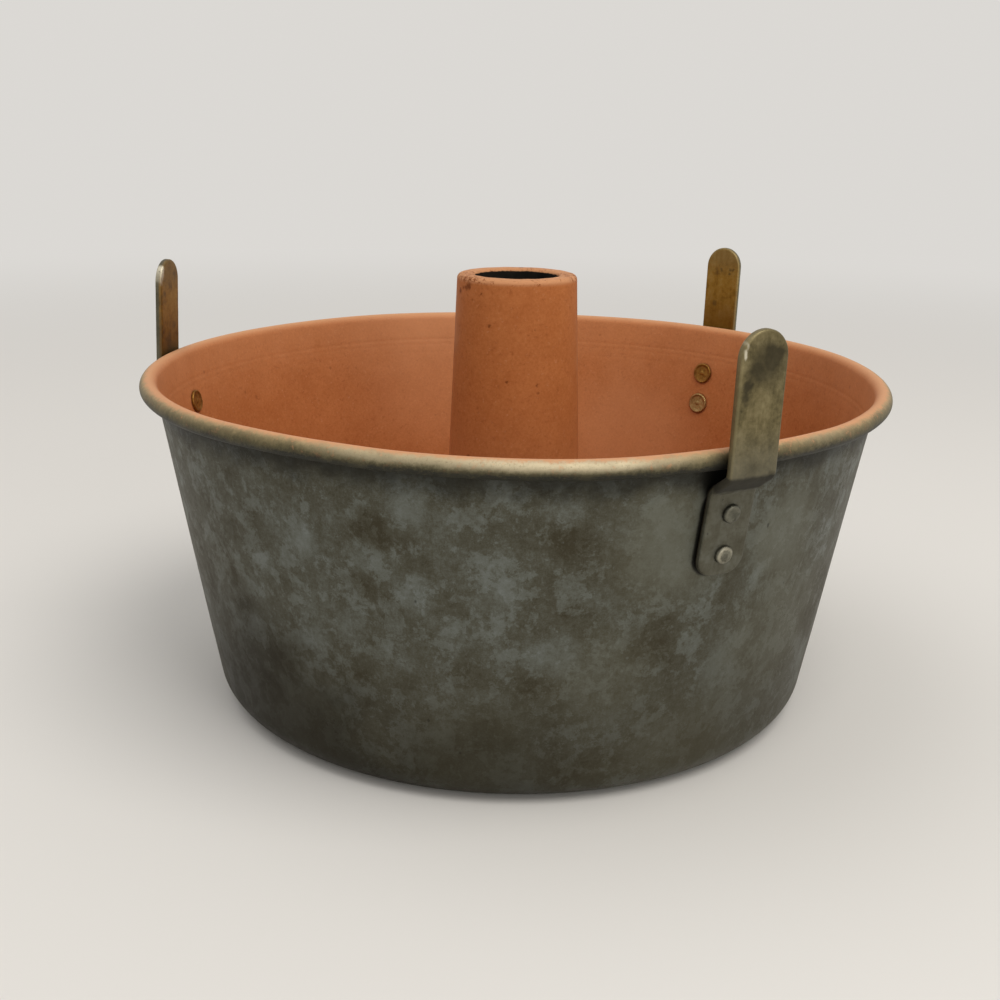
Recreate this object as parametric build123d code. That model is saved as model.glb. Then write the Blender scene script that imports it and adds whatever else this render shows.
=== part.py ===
from build123d import *
import math
import os

# A footed two-piece angel food cake pan, in millimetres.
# The origin is on the axis at the standing surface and +Z is up.
# Turns are measured from the front (-Y) towards the right (+X).

# Outer shell, spun from one sheet
shell_height = 117.0
shell_sheet = 1.0
rim_outer_radius = 132.0
rim_bead_radius = 3.0
foot_radius = 107.9  # where the outer wall line, carried down, meets the standing surface
foot_corner_radius = 12.0
ledge_width = 10.0
curl_seam_angle = 16.0  # degrees left open between the end of the curl and the wall
wire_clearance = 0.25

# Lift-out bottom plate
plate_sheet = 1.0
plate_edge_clearance = 0.6
locating_clearance = 0.5
panel_lift = 0.3
boss_rise = 4.0
boss_flat_width = 9.0
boss_ramp_width = 6.0
stiffening_ring_radius = 66.0
stiffening_ring_width = 6.0
stiffening_ring_rise = 1.2
tube_hole_clearance = 0.1

# Centre tube, spun from one sheet
tube_sheet = 1.0
tube_height = 150.1
tube_top_radius = 21.4
tube_foot_radius = 26.95
lip_roll_radius = 1.8
lip_flat_width = 3.1
lip_inner_roll_radius = 1.5
mouth_wall_length = 4.0
lock_bead_radius = 1.2
tube_flange_width = 4.5

# Legs, bent from flat bar
leg_width = 16.0
leg_thickness = 2.5
leg_tip_rise = 33.8  # leg tips above the top of the rim
tab_drop = 40.0  # tab ends below the top of the rim
tab_corner_radius = 5.8
joggle_start_drop = 7.0  # below the underside of the rim bead
joggle_end_drop = 1.5
bend_radius = 1.2
leg_edge_radius = 0.5
tab_clearance = 0.05
front_right_turn_angle = 29.2
front_right_lean_angle = 1.8
front_right_rim_gap = 1.2
rear_right_turn_angle = 138.2
rear_right_lean_angle = 1.6
rear_right_rim_gap = 0.4
rear_left_turn_angle = -98.2
rear_left_lean_angle = -2.9
rear_left_rim_gap = 0.2

# Rivets, two through each leg
upper_rivet_drop = 19.7
lower_rivet_drop = 32.7
shank_radius = 2.0
shank_clearance = 0.1
outer_head_radius = 2.9
outer_head_height = 1.5
inner_head_radius = 4.15
inner_head_thickness = 0.9
inner_head_edge_radius = 0.4
dimple_radius = 1.0
dimple_depth = 0.25
rivet_seat_clearance = 0.03

overrun = 5.0  # how far every cutting shape passes its target
joined = 1e-6  # points nearer than this are one point


def at(radius, height):
    return Vector(radius, 0, height)


def polar(centre, radius, angle):
    turn = math.radians(angle)
    return centre + at(radius * math.cos(turn), radius * math.sin(turn))


def arc(centre, radius, start_angle, end_angle):
    middle_angle = (start_angle + end_angle) / 2
    return ThreePointArc(
        polar(centre, radius, start_angle),
        polar(centre, radius, middle_angle),
        polar(centre, radius, end_angle),
    )


def section(*pieces):
    """A face outlined by points and arcs in turn, with straight lines between them."""
    ends = [(piece, piece) if isinstance(piece, Vector) else (piece @ 0, piece @ 1) for piece in pieces]
    edges = []
    for index, piece in enumerate(pieces):
        if not isinstance(piece, Vector):
            edges.append(piece)
        start = ends[index][1]
        finish = ends[(index + 1) % len(pieces)][0]
        if (finish - start).length > joined:
            edges.append(Line(start, finish))
    return Face(Wire(edges))


# Shell section: the wall leans out so that its outer line touches the wire channel
bead_centre = at(rim_outer_radius - rim_bead_radius, shell_height - rim_bead_radius)
channel_radius = rim_bead_radius - shell_sheet
foot_to_bead = bead_centre - at(foot_radius, 0)
lean_to_bead = math.degrees(math.atan2(foot_to_bead.X, foot_to_bead.Z))
wall_lean = lean_to_bead - math.degrees(math.asin(channel_radius / foot_to_bead.length))
wall_slope = math.tan(math.radians(wall_lean))
wall_cosine = math.cos(math.radians(wall_lean))
corner_centre = at(
    foot_radius + foot_corner_radius * wall_slope - foot_corner_radius / wall_cosine,
    foot_corner_radius,
)
opening_radius = corner_centre.X - ledge_width


def wall_point(height):
    return at(foot_radius + height * wall_slope, height)


def make_shell():
    inward = 180 - wall_lean
    outward = -wall_lean
    wall_cut = math.degrees(math.acos(channel_radius / rim_bead_radius))
    curl_end = inward + wall_cut + curl_seam_angle - 360
    return revolve(
        section(
            at(opening_radius, 0),
            arc(corner_centre, foot_corner_radius, -90, outward),
            arc(bead_centre, channel_radius, inward, curl_end),
            arc(bead_centre, rim_bead_radius, curl_end, inward),
            arc(corner_centre, foot_corner_radius - shell_sheet, outward, -90),
            at(opening_radius, shell_sheet),
        ),
        Axis.Z,
    )


def make_rim_wire():
    return revolve(
        Face(Wire(Edge.make_circle(channel_radius - wire_clearance, Plane(bead_centre, z_dir=(0, 1, 0))))),
        Axis.Z,
    )


# Bottom plate levels and radii
seat_height = shell_sheet
plate_radius = corner_centre.X - plate_edge_clearance
panel_radius = opening_radius - locating_clearance
panel_top = panel_lift + plate_sheet
boss_underside = panel_lift + boss_rise
boss_top = boss_underside + plate_sheet
boss_radius = tube_foot_radius + boss_flat_width
boss_foot_radius = boss_radius + boss_ramp_width


def ring_arc(level, outward):
    """The stiffening ring's section at one face of the plate, drawn outward or inward."""
    half_width = stiffening_ring_width / 2
    inner = at(stiffening_ring_radius - half_width, level)
    outer = at(stiffening_ring_radius + half_width, level)
    crest = at(stiffening_ring_radius, level + stiffening_ring_rise)
    if outward:
        return ThreePointArc(inner, crest, outer)
    return ThreePointArc(outer, crest, inner)


def make_bottom_plate():
    hole_radius = tube_foot_radius + tube_hole_clearance
    return revolve(
        section(
            at(hole_radius, boss_underside),
            at(boss_radius - plate_sheet / 2, boss_underside),
            at(boss_foot_radius - plate_sheet / 2, panel_lift),
            ring_arc(panel_lift, True),
            at(panel_radius, panel_lift),
            at(panel_radius, seat_height),
            at(plate_radius, seat_height),
            at(plate_radius, seat_height + plate_sheet),
            at(panel_radius - plate_sheet, seat_height + plate_sheet),
            at(panel_radius - plate_sheet, panel_top),
            ring_arc(panel_top, False),
            at(boss_foot_radius, panel_top),
            at(boss_radius, boss_top),
            at(hole_radius, boss_top),
        ),
        Axis.Z,
    )


# Centre tube: the cone's side line touches the outer roll of the lip
roll_centre = at(tube_top_radius - lip_roll_radius, tube_height - lip_roll_radius)
inner_roll_centre = at(
    roll_centre.X - lip_flat_width,
    tube_height - lip_inner_roll_radius,
)
mouth_radius = inner_roll_centre.X - lip_inner_roll_radius
lock_bead_top = at(tube_foot_radius, boss_top + 2 * lock_bead_radius)


def make_centre_tube():
    rise = roll_centre - lock_bead_top
    side_lean = math.degrees(
        math.asin(lip_roll_radius / rise.length) - math.atan2(rise.X, rise.Z)
    )
    mouth_foot = inner_roll_centre.Z - mouth_wall_length
    bore_foot_radius = tube_foot_radius - tube_sheet
    flange_radius = tube_foot_radius + tube_flange_width
    lock_centre = at(tube_foot_radius, boss_top + lock_bead_radius)
    return revolve(
        section(
            at(bore_foot_radius, boss_underside - tube_sheet),
            at(flange_radius, boss_underside - tube_sheet),
            at(flange_radius, boss_underside),
            at(tube_foot_radius, boss_underside),
            arc(lock_centre, lock_bead_radius, -90, 90),
            arc(roll_centre, lip_roll_radius, side_lean, 90),
            arc(inner_roll_centre, lip_inner_roll_radius, 90, 180),
            at(mouth_radius, mouth_foot),
            at(mouth_radius + tube_sheet, mouth_foot),
            arc(inner_roll_centre, lip_inner_roll_radius - tube_sheet, 180, 90),
            arc(roll_centre, lip_roll_radius - tube_sheet, 90, side_lean),
            at(bore_foot_radius, lock_bead_top.Z),
        ),
        Axis.Z,
    )


# Legs and rivets are made at the +X side and then turned about the axis
tip_height = shell_height + leg_tip_rise
tab_foot = shell_height - tab_drop
bead_underside = shell_height - 2 * rim_bead_radius
wall_normal = Vector(wall_cosine, 0, -math.sin(math.radians(wall_lean)))
rivet_heights = {"upper": shell_height - upper_rivet_drop, "lower": shell_height - lower_rivet_drop}


def turned(solid, turn):
    return Rot(0, 0, turn - 90) * solid


def rivet_plane(height):
    """A plane on the outside of the wall whose normal points straight out of it."""
    return Plane(wall_point(height), x_dir=(0, 1, 0), z_dir=wall_normal)


def shank_hole(height):
    length = 2 * (leg_thickness + shell_sheet + overrun)
    return rivet_plane(height).location * Cylinder(shank_radius + shank_clearance, length)


def leg_line(lean, rim_gap):
    """The middle line of the bar: along the wall, out under the rim bead, and up past it."""
    half_bar = leg_thickness / 2
    low, start = (
        wall_point(height) + wall_normal * (tab_clearance + half_bar)
        for height in (tab_foot - overrun, bead_underside - joggle_start_drop)
    )
    tongue_radius = rim_outer_radius + rim_gap + half_bar
    slope = math.tan(math.radians(lean))
    end, high = (
        at(tongue_radius + (height - bead_centre.Z) * slope, height)
        for height in (bead_underside - joggle_end_drop, tip_height + overrun)
    )
    return FilletPolyline(low, start, end, high, radius=bend_radius + half_bar)


def leg_outline():
    """The leg seen from outside: a round tip above and a tab with round corners below."""
    half_width = leg_width / 2
    tip_centre = tip_height - half_width
    corner_side = half_width - tab_corner_radius
    corner_height = tab_foot + tab_corner_radius
    right_corner = Vector(0, corner_side, corner_height)
    left_corner = Vector(0, -corner_side, corner_height)
    diagonal = tab_corner_radius * math.sqrt(0.5)
    return Wire(
        [
            Line((0, -corner_side, tab_foot), (0, corner_side, tab_foot)),
            ThreePointArc(
                (0, corner_side, tab_foot),
                right_corner + Vector(0, diagonal, -diagonal),
                (0, half_width, corner_height),
            ),
            Line((0, half_width, corner_height), (0, half_width, tip_centre)),
            ThreePointArc((0, half_width, tip_centre), (0, 0, tip_height), (0, -half_width, tip_centre)),
            Line((0, -half_width, tip_centre), (0, -half_width, corner_height)),
            ThreePointArc(
                (0, -half_width, corner_height),
                left_corner + Vector(0, -diagonal, -diagonal),
                (0, -corner_side, tab_foot),
            ),
        ]
    )


def make_leg(lean, rim_gap):
    line = leg_line(lean, rim_gap)
    bar_width = leg_width + 2 * overrun
    start_plane = Plane(line @ 0, x_dir=(0, 1, 0), z_dir=line % 0)
    bar = sweep(start_plane * Rectangle(bar_width, leg_thickness), path=line)
    reach = rim_outer_radius + 2 * (rim_gap + leg_thickness + overrun)
    blank = extrude(Face(leg_outline()), amount=reach + tip_height, dir=(1, 0, 0))
    leg = bar & blank
    leg = fillet(leg.edges(), leg_edge_radius)
    for height in rivet_heights.values():
        leg -= shank_hole(height)
    return leg


def make_rivet(height):
    """A rivet on its own axis, counted outward from the outside of the wall."""
    wall_radius = wall_point(height).X - shell_sheet
    hollow = wall_radius - math.sqrt(wall_radius**2 - inner_head_radius**2)
    inner_seat = -(shell_sheet + hollow + rivet_seat_clearance)
    inner_face = inner_seat - inner_head_thickness
    outer_seat = tab_clearance + leg_thickness
    dome_top = outer_seat + outer_head_height
    dome_radius = (outer_head_radius**2 + outer_head_height**2) / (2 * outer_head_height)
    dome_centre = at(0, dome_top - dome_radius)
    dome_edge = math.degrees(math.acos(outer_head_radius / dome_radius))
    edge_centre = at(inner_head_radius - inner_head_edge_radius, inner_face + inner_head_edge_radius)
    dimple_ball = (dimple_radius**2 + dimple_depth**2) / (2 * dimple_depth)
    dimple_centre = at(0, inner_face + dimple_depth - dimple_ball)
    dimple_edge = math.degrees(math.acos(dimple_radius / dimple_ball))
    profile = section(
        arc(dimple_centre, dimple_ball, 90, dimple_edge),
        arc(edge_centre, inner_head_edge_radius, -90, 0),
        at(inner_head_radius, inner_seat),
        at(shank_radius, inner_seat),
        at(shank_radius, outer_seat),
        arc(dome_centre, dome_radius, dome_edge, 90),
    )
    return rivet_plane(height).location * revolve(profile, Axis.Z)


legs = {
    "front_right": (front_right_turn_angle, front_right_lean_angle, front_right_rim_gap),
    "rear_right": (rear_right_turn_angle, rear_right_lean_angle, rear_right_rim_gap),
    "rear_left": (rear_left_turn_angle, rear_left_lean_angle, rear_left_rim_gap),
}

parts = {
    "pan_shell": make_shell(),
    "rim_wire": make_rim_wire(),
    "bottom_plate": make_bottom_plate(),
    "centre_tube": make_centre_tube(),
}
for place, (turn, lean, rim_gap) in legs.items():
    parts[f"leg_{place}"] = turned(make_leg(lean, rim_gap), turn)
    for level, height in rivet_heights.items():
        parts["pan_shell"] -= turned(shank_hole(height), turn)
        parts[f"rivet_{place}_{level}"] = turned(make_rivet(height), turn)

os.makedirs("parts", exist_ok=True)
for name, solid in parts.items():
    solid.label = name
    export_step(solid, f"parts/{name}.step")
print("wall lean", round(wall_lean, 3), "degrees")
print("opening radius", round(opening_radius, 3), "plate radius", round(plate_radius, 3))
print("mouth radius", round(mouth_radius, 3))
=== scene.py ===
import math

import bmesh
import bpy
import numpy as np
from mathutils import Matrix, Vector, noise
from mathutils.geometry import delaunay_2d_cdt


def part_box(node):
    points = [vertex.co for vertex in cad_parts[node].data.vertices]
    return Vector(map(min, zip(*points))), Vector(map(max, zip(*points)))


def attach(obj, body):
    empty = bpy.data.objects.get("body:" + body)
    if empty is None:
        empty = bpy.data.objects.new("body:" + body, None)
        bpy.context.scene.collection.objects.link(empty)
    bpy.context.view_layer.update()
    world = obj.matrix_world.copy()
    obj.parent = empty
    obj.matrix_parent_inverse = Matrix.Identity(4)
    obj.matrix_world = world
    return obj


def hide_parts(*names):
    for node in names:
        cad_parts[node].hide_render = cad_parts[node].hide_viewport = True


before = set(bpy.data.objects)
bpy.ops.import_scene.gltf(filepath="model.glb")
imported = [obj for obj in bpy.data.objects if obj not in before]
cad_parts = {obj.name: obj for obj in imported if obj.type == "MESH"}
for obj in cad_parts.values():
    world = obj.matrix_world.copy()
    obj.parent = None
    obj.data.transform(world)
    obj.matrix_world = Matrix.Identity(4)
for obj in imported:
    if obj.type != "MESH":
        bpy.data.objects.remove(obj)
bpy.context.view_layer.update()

MM = 0.001
FAR = 1.0  # a distance that no point of the pan reaches
MERGE_DISTANCE = 0.001 * MM

# Turns are measured from the front (-Y) towards the right (+X).
# A line or outline is a table of (radius, height) points.

# Sizes read from the frame
SHELL_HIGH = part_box("pan_shell")[1]
RIM_RADIUS = SHELL_HIGH.x
RIM_HEIGHT = SHELL_HIGH.z
TUBE_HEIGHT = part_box("centre_tube")[1].z
PLATE_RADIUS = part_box("bottom_plate")[1].x
TIP_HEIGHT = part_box("leg_front_right")[1].z

# Outer shell
SHEET = 1.0 * MM
BEAD_RADIUS = 3.0 * MM
FOOT_RADIUS = 107.9 * MM
CORNER_RADIUS = 12.0 * MM
LEDGE_WIDTH = 10.0 * MM
CURL_SEAM_ANGLE = 16.0
COATING_EDGE_ANGLE = 72.0  # where the coating ends on the bead, counted up from its outer side
SPIN_LINE_HEIGHTS = (105.6 * MM, 103.4 * MM, 99.8 * MM)
SPIN_LINE_DEPTHS = (0.07 * MM, 0.04 * MM, 0.03 * MM)
SPIN_LINE_WIDTH = 0.6 * MM
SPIN_LINE_SPAN = (98 * MM, 107 * MM)  # the heights between which the wall is divided finely
SPIN_LINE_SPACING = 0.35 * MM
WALL_RIPPLE = 0.14 * MM
SHELL_INSET = 0.02 * MM  # how far the skin stays inside the CAD's outline
BEAD_ARC_STEPS = 34
SHELL_SPACING = 2.0 * MM
SHELL_STEPS = 380

# Bottom plate
PANEL_LIFT = 0.3 * MM
BOSS_RISE = 4.0 * MM
BOSS_FLAT_WIDTH = 9.0 * MM
BOSS_RAMP_WIDTH = 6.0 * MM
RING_RADIUS = 66.0 * MM
RING_WIDTH = 6.0 * MM
RING_RISE = 1.2 * MM
LOCATING_CLEARANCE = 0.5 * MM
TUBE_HOLE_CLEARANCE = 0.1 * MM
BOSS_BEND_RADIUS = 1.6 * MM
STEP_BEND_RADIUS = 0.7 * MM
PLATE_RIPPLE = 0.12 * MM
PLATE_SPACING = 2.5 * MM
PLATE_STEPS = 320

# Centre tube
TUBE_TOP_RADIUS = 21.4 * MM
TUBE_FOOT_RADIUS = 26.95 * MM
LIP_ROLL_RADIUS = 1.8 * MM
LIP_FLAT_WIDTH = 3.1 * MM
LIP_INNER_ROLL_RADIUS = 1.5 * MM
MOUTH_WALL_LENGTH = 4.0 * MM
MOUTH_EDGE_ANGLE = 158.0  # where the coating ends in the mouth, on the inner roll
LOCK_BEAD_RADIUS = 1.2 * MM
FLANGE_WIDTH = 4.5 * MM
FLANGE_BEND_RADIUS = 0.6 * MM
LIP_SAG = 0.06 * MM
TUBE_RIPPLE = 0.05 * MM
TUBE_SPACING = 1.5 * MM
TUBE_STEPS = 288

# Legs: turn, lean and gap to the rim for each
LEG_WIDTH = 16.0 * MM
LEG_THICKNESS = 2.5 * MM
LEG_EDGE_RADIUS = 0.75 * MM
TAB_DROP = 40.0 * MM
TAB_CORNER_RADIUS = 5.8 * MM
JOGGLE_START_DROP = 7.0 * MM
JOGGLE_END_DROP = 1.5 * MM
BEND_RADIUS = 1.2 * MM
TAB_CLEARANCE = 0.05 * MM
LEG_LINE_SPACING = 0.5 * MM
LEG_OUTLINE_SPACING = 0.7 * MM
LEG_FACE_SPACING = 0.8 * MM
EDGE_WEAR = 0.05 * MM
EDGE_WEAR_SIZE = 3 * MM
UNEVEN_SHARE = 0.035  # how much thinner the bar can be in its hollows
UNEVEN_SIZE = 7 * MM
LEGS = {
    "front_right": (29.2, 1.8, 1.2 * MM),
    "rear_right": (138.2, 1.6, 0.4 * MM),
    "rear_left": (-98.2, -2.9, 0.2 * MM),
}
LEG_TURNS = [turn for turn, _, _ in LEGS.values()]

# Rivets
RIVET_DROPS = {"upper": 19.7 * MM, "lower": 32.7 * MM}
SHANK_RADIUS = 2.0 * MM
OUTER_HEAD_RADIUS = 2.9 * MM
OUTER_HEAD_HEIGHT = 1.5 * MM
INNER_HEAD_RADIUS = 4.15 * MM
INNER_HEAD_THICKNESS = 0.9 * MM
SEAT_CLEARANCE = 0.03 * MM
SEAT_HOLLOW = 0.08 * MM  # how far the round wall drops away under the flat inner head
INNER_HEAD_ROLL = 0.38 * MM
INNER_HEAD_FACE = ((0, 0.05), (0.5, 0.07), (1.0, 0.22), (2.9, 0.20))  # radius and height in millimetres
OUTER_HEAD_ROLL = 0.95 * MM
OUTER_HEAD_CROWN = ((0.9, 0.05), (0, 0.12))  # radius and drop below the top in millimetres
OUTER_HEAD_SHOULDER = 0.1 * MM
HAMMER_SIZE = 1.6 * MM
HAMMER_DEPTH = 0.09 * MM
HAMMER_SPREAD = 0.02
RIVET_SPACING = 0.3 * MM
RIVET_STEPS = 56

# Camera, fitted to the outlines in the photograph
CAMERA_DISTANCE = 0.45025
CAMERA_HEIGHT = 0.20306
CAMERA_YAW = -0.01061
CAMERA_PITCH = -0.2963
CAMERA_ROLL = 0.01699
SENSOR_WIDTH = 36.0
LENS = 45.12

# Light and floor
LAMPS = (  # name, place, size, power and colour
    ("key", (0.5, -0.6, 1.4), 1.1, 10.5, (1.0, 0.97, 0.93)),
    ("top", (-0.6, 0.0, 1.3), 1.2, 3, (0.98, 0.98, 1.0)),
    ("front", (0.9, -1.4, 0.5), 0.9, 4.5, (1.0, 0.98, 0.95)),
)
AMBIENT = (1.0, 0.98, 0.95)
AMBIENT_STRENGTH = 0.55
FLOOR_SIZE = 12
FLOOR_ROUGHNESS = 0.9
FLOOR_FADE = (0.30, 1.6)  # from where to where the floor fades into the backdrop

# Colours
BACKDROP = (0.71, 0.69, 0.66)
FLOOR = (0.77, 0.75, 0.715)
COATING_LIGHT = (0.52, 0.189, 0.061)
COATING_DARK = (0.38, 0.118, 0.030)
COATING_SPECK = (0.27, 0.072, 0.018)
COATING_DUST_AND_SHEEN = (0.62, 0.33, 0.17)
COATING_PAINTED_LIGHT = (0.70, 0.33, 0.155)
TUBE_TONE = (0.99, 0.98, 0.97)
TUBE_RUBBED_AND_SHEEN = (0.54, 0.31, 0.18)
PIT = (0.16, 0.040, 0.008)
# Near black for soot and dark dots, and for painted shade under the bead, beside the legs and round the outer rivet
# heads
SOOT_AND_SHADE = (0.016, 0.015, 0.012)
WALL_BROWN = (0.055, 0.048, 0.030)
WALL_DULL = (0.088, 0.086, 0.065)
WALL_GREY = (0.130, 0.138, 0.121)
WALL_BLUE = (0.177, 0.194, 0.186)
WALL_WARMTH = (1.0, 0.95, 0.85)
BEAD_RUB_AND_HIGHLIGHT = (0.57, 0.485, 0.325)
BEAD_BRIGHT = (0.39, 0.285, 0.145)
BEAD_PALE = (0.21, 0.165, 0.084)
BEAD_OLIVE = (0.105, 0.089, 0.045)
BEAD_DARK = (0.025, 0.024, 0.017)
GRIME_AND_SHADE_TINT = (0.41, 0.39, 0.355)
# The bore's bare metal, painted near black as painted shade inside the tube
BORE_SHADE = (0.006, 0.005, 0.004)
BORE_SHADE_PALE = (0.020, 0.016, 0.012)


# Lines and outlines


def arc(centre, radius, start_angle, end_angle, steps=12):
    angles = np.radians(np.linspace(start_angle, end_angle, steps + 1))
    return np.column_stack((centre[0] + radius * np.cos(angles), centre[1] + radius * np.sin(angles)))


def bend(before, corner, after, radius, steps=6):
    """The arc that rounds a corner between two straight runs."""
    corner = Vector(corner)
    back = (Vector(before) - corner).normalized()
    ahead = (Vector(after) - corner).normalized()
    half_turn = (math.pi - back.angle(ahead)) / 2
    centre = corner + (back + ahead).normalized() * (radius / math.cos(half_turn))
    start, end = (corner + way * (radius * math.tan(half_turn)) - centre for way in (back, ahead))
    sweep = math.degrees(math.atan2(start.x * end.y - start.y * end.x, start.dot(end)))
    start_angle = math.degrees(math.atan2(start.y, start.x))
    return arc(centre, radius, start_angle, start_angle + sweep, steps)


def trace(spacing, *pieces):
    """An open line through points and arcs in turn, with its straight runs divided evenly."""
    pieces = [np.atleast_2d(np.array(piece, float)) for piece in pieces]
    line = [pieces[0]]
    for piece in pieces[1:]:
        start = line[-1][-1]
        gap = piece[0] - start
        count = max(1, round(float(np.linalg.norm(gap)) / spacing))
        line.append(start + np.linspace(0, 1, count + 1)[1:-1, None] * gap)
        line.append(piece)
    line = np.vstack([part for part in line if len(part)])
    apart = np.linalg.norm(np.diff(line, axis=0), axis=1) > 1e-9
    return line[np.concatenate(([True], apart))]


def distances(line):
    return np.concatenate(([0.0], np.cumsum(np.linalg.norm(np.diff(line, axis=0), axis=1))))


def normals(line):
    """Unit normals to the left of a line's travel."""
    ahead = np.gradient(line, distances(line), axis=0)
    ahead /= np.linalg.norm(ahead, axis=1)[:, None]
    return np.column_stack((-ahead[:, 1], ahead[:, 0]))


def thicken(line, thickness, cap_steps=4):
    """The closed outline of a sheet with round ends, with each point's place along it and its side."""
    along = distances(line)
    left = normals(line)
    outline, places, sides = [], [], []
    for side, order in ((1, slice(None)), (-1, slice(None, None, -1))):
        outline.append(line[order] + side * left[order] * thickness / 2)
        places.append(along[order])
        sides.append(np.full(len(line), float(side)))
        end = line[order][-1]
        out = side * left[order][-1]
        ahead = np.array((out[1], -out[0]))
        for step in range(1, cap_steps):
            turn = math.pi * step / cap_steps
            outline.append([end + (out * math.cos(turn) + ahead * math.sin(turn)) * thickness / 2])
            places.append([along[order][-1]])
            sides.append([side * math.cos(turn)])
    return np.vstack(outline), np.concatenate(places), np.concatenate(sides)


def coated(places, sides, first=-FAR, last=FAR):
    """Distance inside the coating's edge along the left side of a sheet; below zero the metal is bare."""
    inside = np.minimum(places - first, last - places)
    return np.where(sides > 0, inside, -FAR)


def smooth(values, low, high):
    share = np.clip((values - low) / (high - low), 0, 1)
    return share * share * (3 - 2 * share)


# Meshes


def turned(points, turn):
    """Points drawn at the +X side, moved to their turn about the axis."""
    angle = math.radians(turn - 90)
    x, y, z = np.moveaxis(np.asarray(points), -1, 0)
    return np.stack((x * math.cos(angle) - y * math.sin(angle), x * math.sin(angle) + y * math.cos(angle), z), -1)


def make_piece(name, points, faces, body, node, fields=None):
    """A smooth-shaded mesh that stands for a CAD node. Fields are values kept at its points."""
    mesh = bpy.data.meshes.new(name)
    mesh.from_pydata([tuple(point) for point in points], [], faces)
    for field, values in (fields or {}).items():
        values = np.asarray(values, np.float32)
        kind, key = ("FLOAT", "value") if values.ndim == 1 else ("FLOAT_VECTOR", "vector")
        mesh.attributes.new(field, kind, "POINT").data.foreach_set(key, values.ravel())
    work = bmesh.new()
    work.from_mesh(mesh)
    bmesh.ops.remove_doubles(work, verts=work.verts, dist=MERGE_DISTANCE)
    bmesh.ops.recalc_face_normals(work, faces=work.faces)
    work.to_mesh(mesh)
    work.free()
    mesh.shade_smooth()
    piece = bpy.data.objects.new(name, mesh)
    bpy.context.scene.collection.objects.link(piece)
    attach(piece, body)
    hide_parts(node)
    return piece


def grid_faces(rows, columns, wrap_rows=True, wrap_columns=True):
    """Quads between the points of a table whose rows and columns can wrap round."""
    faces = []
    for row in range(rows if wrap_rows else rows - 1):
        for column in range(columns if wrap_columns else columns - 1):
            beside = (column + 1) % columns
            above = (row + 1) % rows
            faces.append(
                (row * columns + column, row * columns + beside, above * columns + beside, above * columns + column)
            )
    return faces


def lathe(outline, steps, shape=None):
    """Points of an outline at even turns about the axis, where shape moves (radius, height) at each turn."""
    turns = np.linspace(0, 2 * math.pi, steps, endpoint=False)[:, None]
    radius = np.broadcast_to(outline[:, 0], (steps, len(outline)))
    height = np.broadcast_to(outline[:, 1], (steps, len(outline)))
    if shape:
        radius, height = shape(radius, height, turns)
    return np.stack((radius * np.sin(turns), -radius * np.cos(turns), height), -1).reshape(-1, 3)


def make_sheet(name, body, node, outline, coat, steps, shape):
    """A turned sheet that keeps how far inside the coating each point lies."""
    points = lathe(outline, steps, shape)
    faces = grid_faces(steps, len(outline))
    return make_piece(name, points, faces, body, node, {"coat": np.tile(coat, steps)})


def turn_gap(turns, turn):
    """Difference between turns in radians and one in degrees, as degrees within half a turn."""
    return (np.degrees(turns) - turn + 180) % 360 - 180


RIPPLE_COUNTS = (2, 9)  # how many waves go round, the second not included
RIPPLE_CLIMB = 60  # radians per metre


def ripples(turns, heights, seed, strength, waves=5):
    """A smooth uneven surface: waves of random direction that close up round the axis."""
    draw = np.random.default_rng(seed)
    total = 0
    for _ in range(waves):
        count = draw.integers(*RIPPLE_COUNTS)
        climb = draw.uniform(-RIPPLE_CLIMB, RIPPLE_CLIMB)
        total = total + np.sin(count * turns + climb * heights + draw.uniform(0, 2 * math.pi))
    return strength * total / math.sqrt(waves)


# Shell: its middle line runs from the ledge up the wall and over the rim wire

BEAD_CENTRE = np.array((RIM_RADIUS - BEAD_RADIUS, RIM_HEIGHT - BEAD_RADIUS))
CHANNEL_RADIUS = BEAD_RADIUS - SHEET
FOOT_TO_BEAD = BEAD_CENTRE - np.array((FOOT_RADIUS, 0))
WALL_LEAN = math.degrees(
    math.atan2(FOOT_TO_BEAD[0], FOOT_TO_BEAD[1]) - math.asin(CHANNEL_RADIUS / np.linalg.norm(FOOT_TO_BEAD))
)
WALL_SLOPE = math.tan(math.radians(WALL_LEAN))
WALL_COSINE = math.cos(math.radians(WALL_LEAN))
CORNER_CENTRE = np.array((FOOT_RADIUS + CORNER_RADIUS * (WALL_SLOPE - 1 / WALL_COSINE), CORNER_RADIUS))
OPENING_RADIUS = CORNER_CENTRE[0] - LEDGE_WIDTH
MID_WALL_HEIGHT = 0.66 * RIM_HEIGHT

# Knocks that lift or press the rim: turn, width in degrees and rise
RIM_KNOCKS = (
    (-34.0, 12.0, 0.63 * MM),
    (-22.0, 6.0, 0.22 * MM),
    (9.0, 17.0, -0.63 * MM),
    (51.0, 7.0, -0.28 * MM),
    (-58.0, 12.0, 0.25 * MM),
    (74.0, 13.0, -0.3 * MM),
    (105.0, 10.0, 0.2 * MM),
    (172.0, 16.0, -0.3 * MM),
    (-150.0, 14.0, 0.25 * MM),
)
RIM_KNOCK_START = 55.0 * MM
LEG_CALM_WIDTH = 9.0


def shell_shape(radius, height, turns):
    calm = 1.0
    for turn in LEG_TURNS:
        calm = calm * (1 - np.exp(-((turn_gap(turns, turn) / LEG_CALM_WIDTH) ** 2)))
    up_wall = smooth(height, RIM_KNOCK_START, BEAD_CENTRE[1])
    rise = sum(lift * np.exp(-((turn_gap(turns, turn) / width) ** 2)) for turn, width, lift in RIM_KNOCKS)
    belly = smooth(height, CORNER_RADIUS, 3 * CORNER_RADIUS) * (1 - smooth(height, 0.8 * RIM_HEIGHT, RIM_HEIGHT))
    dents = ripples(turns, height, seed=3, strength=WALL_RIPPLE)
    return radius + calm * belly * dents - SHELL_INSET, height + calm * up_wall * rise


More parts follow.
